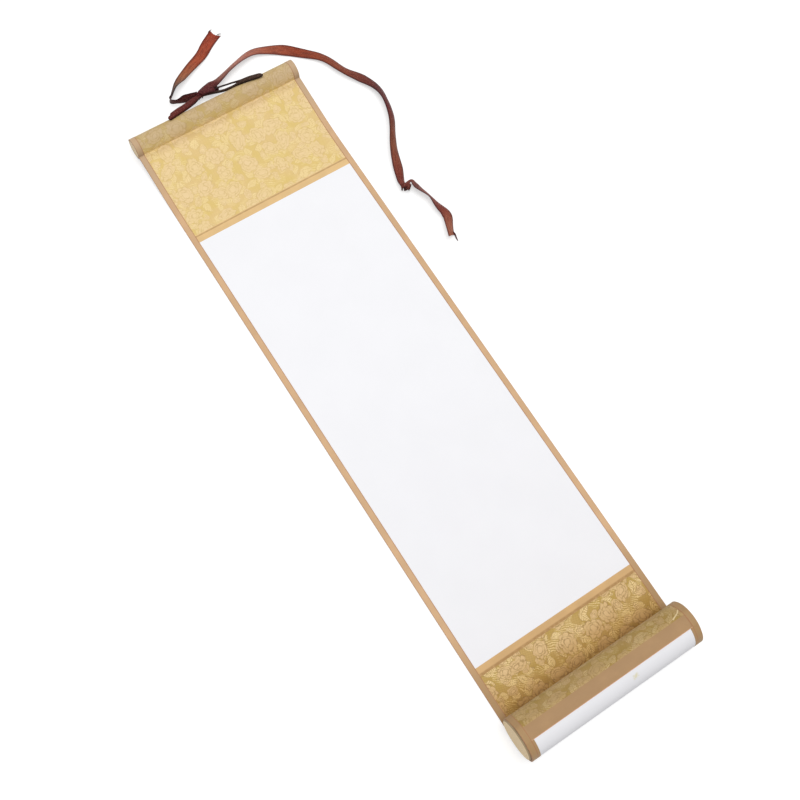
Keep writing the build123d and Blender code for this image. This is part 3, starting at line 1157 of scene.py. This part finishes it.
def tinted_from(start, rows):
    """Stops from rows of a distance past the start and the three shares of light left there"""
    return [(start + distance, (*shares, 1.0)) for distance, *shares in rows]


THREAD_BOW = 0.5 * MM
THREAD_TONE = colour(226, 204, 158)


def stray_thread(tree, place, start, end):
    """Mask of a loose thread that lies bent on a cloth from one place to another, in millimetres"""
    ahead = (end[0] - start[0], end[1] - start[1])
    length = math.hypot(*ahead)
    right, onward = ahead[0] / length, ahead[1] / length
    x = maths(tree, "SUBTRACT", place["X"], start[0] * MM)
    y = maths(tree, "SUBTRACT", place["Y"], start[1] * MM)
    run = total(tree, product(tree, x, right), product(tree, y, onward))
    share = maths(tree, "DIVIDE", run, length * MM)
    aside = maths(tree, "SUBTRACT", product(tree, x, onward), product(tree, y, right))
    bow = maths(tree, "SINE", product(tree, share, 1.5 * math.pi))
    aside = maths(tree, "ABSOLUTE", maths(tree, "MULTIPLY_ADD", bow, THREAD_BOW, aside))
    ends = product(tree, band(tree, share, 0.0, 0.05), band(tree, share, 1.0, 0.9))
    return product(tree, band(tree, aside, 0.45 * MM, 0.25 * MM), ends, 0.85)


print("tone helpers ready")

# %% Figured silk material


def figured_silk(name, tones, strength, painted_light_stops, fainter=None, thread=None):
    """Woven silk with flowers, from its tones, how strong they are, and its stops of painted light and
    shade along the path
    """
    material, tree, shader = new_material(name)
    cloth = on_cloth(tree)
    place = parts_of(tree, cloth)
    pattern = figured(tree, cloth)
    if fainter:
        strength = product(tree, band(tree, place["Y"], *fainter), strength)
    clouds = noise(tree, cloth, 75)
    base = blend_colours(tree, band(tree, clouds, 0.40, 0.60), tones["ground"], tones["warm"])
    twill = woven(tree, cloth, 0.55 * MM)
    ribs = product(tree, twill, maths(tree, "MULTIPLY_ADD", pattern["Petals"], -0.35, 0.5))
    base = blend_colours(tree, ribs, base, tones["lines"])
    base = blend_colours(tree, product(tree, pattern["Petals"], strength), base, tones["petals"])
    base = blend_colours(tree, product(tree, pattern["Veins"], strength), base, tones["veins"])
    base = blend_colours(tree, product(tree, pattern["Lines"], strength, 0.85), base, tones["lines"])
    # Painted light and shade along the path: the stops darken or lighten the cloth where the rods and
    # the valley change how light falls on it.
    wander = maths(tree, "MULTIPLY_ADD", noise(tree, cloth, 130), 2.4 * MM, -1.2 * MM)
    painted_light_tone = fading(tree, total(tree, wander, place["Y"]), painted_light_stops)
    base = blend_colours(tree, 1.0, base, painted_light_tone, "MULTIPLY")
    if thread:
        base = blend_colours(tree, stray_thread(tree, place, *thread), base, THREAD_TONE)
    tree.links.new(base, shader.inputs["Base Color"])
    rough = maths(tree, "MULTIPLY_ADD", pattern["Petals"], -0.12, 0.60)
    tree.links.new(rough, shader.inputs["Roughness"])
    set_sockets(shader, {"Specular IOR Level": 0.28, "Sheen Weight": 0.10, "Sheen Roughness": 0.4})
    threads = product(tree, woven(tree, cloth, 0.22 * MM), 0.25)
    relief = maths(tree, "MULTIPLY_ADD", pattern["Petals"], 0.6, threads)
    relief = maths(tree, "SUBTRACT", relief, product(tree, pattern["Lines"], 0.5))
    relief = total(tree, relief, product(tree, pattern["Veins"], 0.4))
    bump(tree, shader, relief, 0.35, 0.07 * MM)
    return material


print("figured silk material ready")

# %% The lower silk's tones
on_roller = (lower_length - (lower_strip_low.y - roller.y)) / MM
lower_material = figured_silk(
    "lower_figured_silk",
    {
        "ground": colour(191, 159, 84),
        "warm": colour(197, 164, 98),
        "petals": colour(218, 184, 136),
        "veins": colour(238, 213, 156),
        "lines": colour(148, 115, 58),
    },
    0.80,
    # Painted light along the path: duller on the roller, a painted shade for the sheen the curved silk
    # loses, darkest in the valley beside it, a painted shadow of the roller, then full tone on the flat
    # and a little darker again by the plain strip.
    tinted_from(
        on_roller,
        [
            (-2, 0.77, 0.76, 0.78),
            (4, 0.67, 0.55, 0.33),
            (11.5, 0.64, 0.51, 0.28),
            (17, 0.79, 0.70, 0.51),
            (24, 0.96, 0.94, 0.90),
            (28, 1.0, 1.0, 1.0),
            (31, 1.0, 1.0, 1.0),
            (32.5, 0.88, 0.85, 0.80),
        ],
    ),
    fainter=(on_roller * MM, on_roller * MM + 6 * MM, 0.58, 1.0),
    thread=((46.8, 4.5), (41.0, 0.2)),
)
lower_silk.data.materials.append(lower_material)
print("the lower silk leaves the roller", round(on_roller, 1), "mm from its free end")

# %% The upper silk's tones
kink = (kink_start[0] - upper_strip_high.y) / MM
# The upper silk's tones are lighter and lower in contrast than the lower silk's, a painted sheen on the
# same cloth.
upper_material = figured_silk(
    "upper_figured_silk",
    {
        "ground": colour(225, 197, 120),
        "warm": colour(228, 198, 136),
        "petals": colour(233, 205, 158),
        "veins": colour(240, 217, 156),
        "lines": colour(206, 175, 112),
    },
    0.72,
    # Painted light along the path: painted shade on the flat just before the kink, a painted light just
    # past it, and a duller band round the stave, a painted shade for the sheen the curved silk loses.
    tinted_from(
        kink,
        [
            (-4.0, 1.0, 1.0, 1.0),
            (-0.5, 0.84, 0.81, 0.80),
            (1.0, 1.12, 1.12, 1.16),
            (4.0, 0.90, 0.89, 0.95),
            (7.0, 0.73, 0.71, 0.76),
            (14.0, 0.68, 0.66, 0.71),
        ],
    ),
)
upper_silk.data.materials.append(upper_material)
print("the upper silk bends up the stave", round(kink, 1), "mm past its strip")

# %% [markdown]
# ## Plain silk, tape, paper and wood
#
# These pieces keep the model's own solids, so their patterns use Object coordinates. A seam is a
# thin ragged line at some distance from the middle, on both sides of it.

# %% Plain silk and tape material
BY_ROLLER = (-112 * MM, -162 * MM)
ON_STAVE = (145 * MM, 172 * MM)


def plain_silk(name, tone, spacing, seams, ends=None):
    """Plain woven silk with seams along it, and with darker tones by the roller and on the stave,
    painted shade, where they are given
    """
    material, tree, shader = new_material(name)
    solid = on_solid(tree)
    place = parts_of(tree, solid)
    threads = woven(tree, solid, spacing)
    soft = band(tree, noise(tree, solid, 90, 3.0), 0.35, 0.7)
    base = blend_colours(tree, soft, dimmed(tone, 0.90), tone)
    base = blend_colours(tree, product(tree, threads, 0.25), base, dimmed(tone, 0.85))
    if ends:
        # Painted shade: the darker tones by the roller and on the stave stand in for the sheen the silk
        # loses on the rods.
        for reach, painted_shade_tone in zip((BY_ROLLER, ON_STAVE), ends):
            base = blend_colours(tree, band(tree, place["Y"], *reach), base, painted_shade_tone)
    ragged = noise(tree, solid, 700)
    for axis, distance, half_width, strength, shade in seams:
        away = maths(tree, "SUBTRACT", maths(tree, "ABSOLUTE", place[axis]), distance)
        line = band(tree, maths(tree, "ABSOLUTE", away), half_width, half_width * 0.4)
        line = product(tree, line, band(tree, ragged, 0.25, 0.6, strength * 0.6, strength))
        base = blend_colours(tree, line, base, shade)
    tree.links.new(base, shader.inputs["Base Color"])
    set_sockets(shader, {"Roughness": 0.6, "Specular IOR Level": 0.3, "Sheen Weight": 0.1})
    bump(tree, shader, threads, 0.3, 0.04 * MM)
    return material


def dress(node, material):
    """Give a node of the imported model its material"""
    slots = nodes[node].material_slots
    for slot in slots:
        slot.material = material
    if not slots:
        nodes[node].data.materials.append(material)


print("plain silk material ready")

# %% The plain strips and the tape
SEAM = colour(164, 108, 74)
OLIVE_SEAM = colour(150, 110, 58)
PALE_SEAM = colour(226, 176, 146)
STRIP_WEAVE = 0.35 * MM
TAPE_WEAVE = 0.30 * MM
TAPE_WIDTH = 3.1 * MM

upper_seam = ("Y", abs(upper_strip_high.y) - 0.75 * MM, 0.55 * MM, 0.55, OLIVE_SEAM)
lower_seam = ("Y", abs(lower_strip_low.y) - 0.4 * MM, 1.35 * MM, 0.70, OLIVE_SEAM)
roller_strip_edge = ("Y", abs(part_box("roller_end_strip")[0].y), 0.35 * MM, 0.8, PALE_SEAM)
# The roller's and the stave's end strips are given darker tones than the cross strips, a painted shade
# for the sheen the curved silk loses on the rods.
for node, name, tone, seams in (
    ("upper_cross_strip", "upper_plain_silk", (229, 192, 135), [upper_seam]),
    ("lower_cross_strip", "lower_plain_silk", (212, 172, 118), [lower_seam]),
    ("roller_end_strip", "roller_plain_silk", (174, 138, 97), [roller_strip_edge]),
    ("stave_end_strip", "stave_plain_silk", (215, 178, 124), []),
):
    dress(node, plain_silk(name, colour(*tone), STRIP_WEAVE, seams))

sheet_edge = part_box("right_edge_binding")[1].x
inner_seam = ("X", sheet_edge - TAPE_WIDTH, 0.30 * MM, 0.7, SEAM)
outer_seam = ("X", sheet_edge, 0.30 * MM, 0.6, SEAM)
# The tape's darker tones by the roller and on the stave are painted shade.
tape_painted_shade = (colour(168, 134, 92), colour(193, 163, 128))
tape = plain_silk("edge_tape", colour(213, 174, 132), TAPE_WEAVE, [inner_seam, outer_seam], tape_painted_shade)
dress("left_edge_binding", tape)
dress("right_edge_binding", tape)
print("plain silk ready")

# %% Paper material
# A slight grey that is multiplied in more and more towards the roller.
ROLLER_GREY = (0.955, 0.950, 0.950, 1.0)
SPOT_TONE = colour(216, 204, 140)


def soft_paper(name, tone, spot=None):
    """Soft long-fibred paper, greyer towards the roller, with a small yellowed spot if one is given"""
    material, tree, shader = new_material(name)
    solid = on_solid(tree)
    fibres = noise(tree, solid, (500, 1800, 800), 4.0, 0.6)
    clouds = band(tree, noise(tree, solid, 40, 3.0), 0.3, 0.7)
    base = blend_colours(tree, clouds, dimmed(tone, 0.985), tone)
    base = blend_colours(tree, band(tree, fibres, 0.55, 0.8, 0.0, 0.35), base, dimmed(tone, 0.965))
    roller_greyed = blend_colours(tree, 1.0, base, ROLLER_GREY, "MULTIPLY")
    by_roller = band(tree, parts_of(tree, solid)["Y"], 60 * MM, -150 * MM)
    base = blend_colours(tree, by_roller, base, roller_greyed)
    if spot:
        away = vector_maths(tree, "LENGTH", vector_maths(tree, "SUBTRACT", solid, spot)[0])["Value"]
        away = maths(tree, "MULTIPLY_ADD", noise(tree, solid, 900), 3.0 * MM, away)
        base = blend_colours(tree, band(tree, away, 3.4 * MM, 2.0 * MM, 0.0, 0.55), base, SPOT_TONE)
    tree.links.new(base, shader.inputs["Base Color"])
    set_sockets(shader, {"Roughness": 0.85, "Specular IOR Level": 0.2})
    bump(tree, shader, fibres, 0.25, 0.03 * MM)
    return material


dress("writing_paper", soft_paper("writing_paper", colour(243, 243, 246)))
spot_place = (11 * MM, roller.y - 6.3 * MM, roller.z + 9.7 * MM)
dress("backing_paper", soft_paper("backing_paper", colour(240, 240, 243), spot_place))
print("paper ready")

# %% Wood material
RING_SPACING = 1.2083 * MM
RING_WANDER = 9.0


def bare_wood(name, centre, radius, tone, ring_tone):
    """Bare turned wood with its heart on the rod's axis, darker at its rim, where the silk shades it"""
    material, tree, shader = new_material(name)
    solid = stretched(tree, on_solid(tree), (1, 1, 1), (0.0, -centre.y, -centre.z))
    place = parts_of(tree, solid)
    squares = [product(tree, place[axis], place[axis]) for axis in ("Y", "Z")]
    from_heart = maths(tree, "SQRT", total(tree, *squares))
    wander = product(tree, noise(tree, solid, (25, 300, 300), 3.0), RING_WANDER)
    rings = maths(tree, "MULTIPLY_ADD", from_heart, 2 * math.pi / RING_SPACING, wander)
    rings = maths(tree, "MULTIPLY_ADD", maths(tree, "SINE", rings), 0.5, 0.5)
    base = blend_colours(tree, product(tree, rings, 0.5), tone, ring_tone)
    pores = noise(tree, solid, (400, 5000, 5000))
    base = blend_colours(tree, band(tree, pores, 0.55, 0.75, 0.0, 0.4), base, dimmed(ring_tone, 0.8))
    rim = band(tree, from_heart, radius - 0.7 * MM, radius - 0.2 * MM, 0.0, 0.8)
    base = blend_colours(tree, rim, base, dimmed(ring_tone, 0.35))
    tree.links.new(base, shader.inputs["Base Color"])
    shader.inputs["Roughness"].default_value = 0.65
    bump(tree, shader, pores, 0.3, 0.05 * MM)
    return material


for node, name, centre, radius, tone, ring_tone in (
    ("roller_rod", "roller_wood", roller, roller_radius, (248, 222, 178), (230, 200, 152)),
    ("stave_rod", "stave_wood", stave, stave_radius, (248, 224, 184), (230, 202, 156)),
):
    dress(node, bare_wood(name, centre, radius, colour(*tone), colour(*ring_tone)))
print("wood ready")

# %% [markdown]
# ## Ribbon material
#
# The ribbon is a ribbed satin, rust red where it faces the light. Its tones are partly painted light:
# the dark brown in its folds is painted shade, and its pale stretches and pale specks are a painted
# sheen and painted glints. The UV map gives the ribs their direction and says how far along the ribbon
# a place is, so that each stretch can change its tone by listed stops, in millimetres. The dark
# selvedges reach from one share of the width, counted from its middle, to another, and further in where
# the ribbon is creased.

# %% Ribbon material
RIB_PITCH = 0.70 * MM
SELVEDGE = (0.30, 0.45)
CREASED = (0.08, 0.30)
FOLD_SHADE = (0.36, 0.32, 0.40, 1.0)
PALE_GLINT = colour(214, 170, 140)


def ribbed_ribbon(name, stops, selvedge):
    """Ribbed ribbon whose ribs run along its length, with dark selvedges"""
    material, tree, shader = new_material(name)
    cloth = on_cloth(tree)
    place = parts_of(tree, cloth)
    tone = fading(tree, place["Y"], [(distance, colour(*shade)) for distance, *shade in stops])
    dark = blend_colours(tree, 1.0, tone, FOLD_SHADE, "MULTIPLY")
    streaks = band(tree, noise(tree, cloth, (1500, 160, 1), 3.0), 0.34, 0.60, 0.70, 0.0)
    base = blend_colours(tree, streaks, tone, dark)
    threads = woven(tree, cloth, 0.45 * MM)
    base = blend_colours(tree, product(tree, threads, 0.30), base, dark)
    # Pale specks on the ribs, painted glints.
    glint_specks = band(tree, noise(tree, cloth, (2600, 1900, 1), 1.0), 0.58, 0.70, 0.0, 0.70)
    base = blend_colours(tree, glint_specks, base, blend_colours(tree, 0.35, tone, PALE_GLINT))
    from_middle = maths(tree, "ABSOLUTE", maths(tree, "SUBTRACT", place["X"], RIBBON_WIDTH / 2))
    edge = band(tree, from_middle, *(RIBBON_WIDTH * share for share in selvedge))
    base = blend_colours(tree, product(tree, edge, 0.95), base, dark)
    tree.links.new(base, shader.inputs["Base Color"])
    set_sockets(
        shader,
        {
            "Roughness": 0.48,
            "Specular IOR Level": 0.12,
            "Sheen Weight": 0.05,
            "Sheen Roughness": 0.35,
            "Sheen Tint": (1.0, 0.80, 0.70, 1.0),
        },
    )
    ribs = maths(tree, "SINE", product(tree, place["X"], 2 * math.pi / RIB_PITCH))
    ribs = maths(tree, "MULTIPLY_ADD", ribs, 0.5, 0.5)
    bump(tree, shader, maths(tree, "MULTIPLY_ADD", threads, 0.4, ribs), 0.6, 0.08 * MM)
    return material


print("ribbon material ready")

# %% Tones, painted sheen and painted shade along the ribbon
# The stops are partly the ribbon's own rust red and partly painted light: the pale ones are a painted
# sheen where the ribbon turns towards its edge, the darkest ones painted shade in its folds and turns.
SHORT_TONES = [
    (0, 84, 32, 34), (14, 92, 36, 34), (21, 80, 66, 60), (27, 114, 84, 68), (34, 164, 100, 66),
    (46, 172, 80, 50), (68, 160, 62, 40),
]
LONG_TONES = [
    (0, 84, 28, 34), (10, 98, 36, 34), (19, 154, 100, 84), (32, 188, 124, 106), (50, 170, 90, 64),
    (66, 150, 62, 34), (92, 144, 72, 48), (118, 92, 34, 36), (134, 104, 40, 38), (156, 144, 82, 56),
    (176, 124, 50, 38), (196, 138, 92, 84), (210, 134, 60, 48), (222, 166, 98, 72),
]
LOOP_TONES = [(0, 104, 38, 32), (22, 96, 34, 32), (34, 52, 36, 30), (63, 60, 38, 26)]
TIE_TONES = [(0, 80, 24, 28), (10, 90, 26, 34), (20, 84, 28, 32)]
KNOT_TONES = [(0, 116, 52, 42), (20, 100, 44, 38)]
for piece, name, stops, selvedge in (
    (short_tail, "short_ribbon", SHORT_TONES, SELVEDGE),
    (long_tail, "long_ribbon", LONG_TONES, SELVEDGE),
    (small_knot, "small_knot_ribbon", KNOT_TONES, SELVEDGE),
    (hanging_loop, "loop_ribbon", LOOP_TONES, CREASED),
    (tie_knot, "tie_ribbon", TIE_TONES, SELVEDGE),
):
    piece.data.materials.append(ribbed_ribbon(name, stops, selvedge))
print("ribbon tones ready")

# %% [markdown]
# ## Each new piece on the scroll's body
#
# Each new piece rides on the scroll's one body and stands for the solids that it hides.

for piece, hidden, slot in (
    (lower_silk, "lower_brocade", "brocade"),
    (upper_silk, "upper_brocade", "brocade"),
    (hanging_loop, "hanging_ribbon", "ribbon"),
    (tie_knot, "tie_knot", "ribbon"),
    (short_tail, "tie_tail_left", "ribbon"),
    (long_tail, "tie_tail_right", "ribbon"),
    (small_knot, "tail_knot", "ribbon"),
):
    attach(piece, "root")
    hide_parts(hidden)
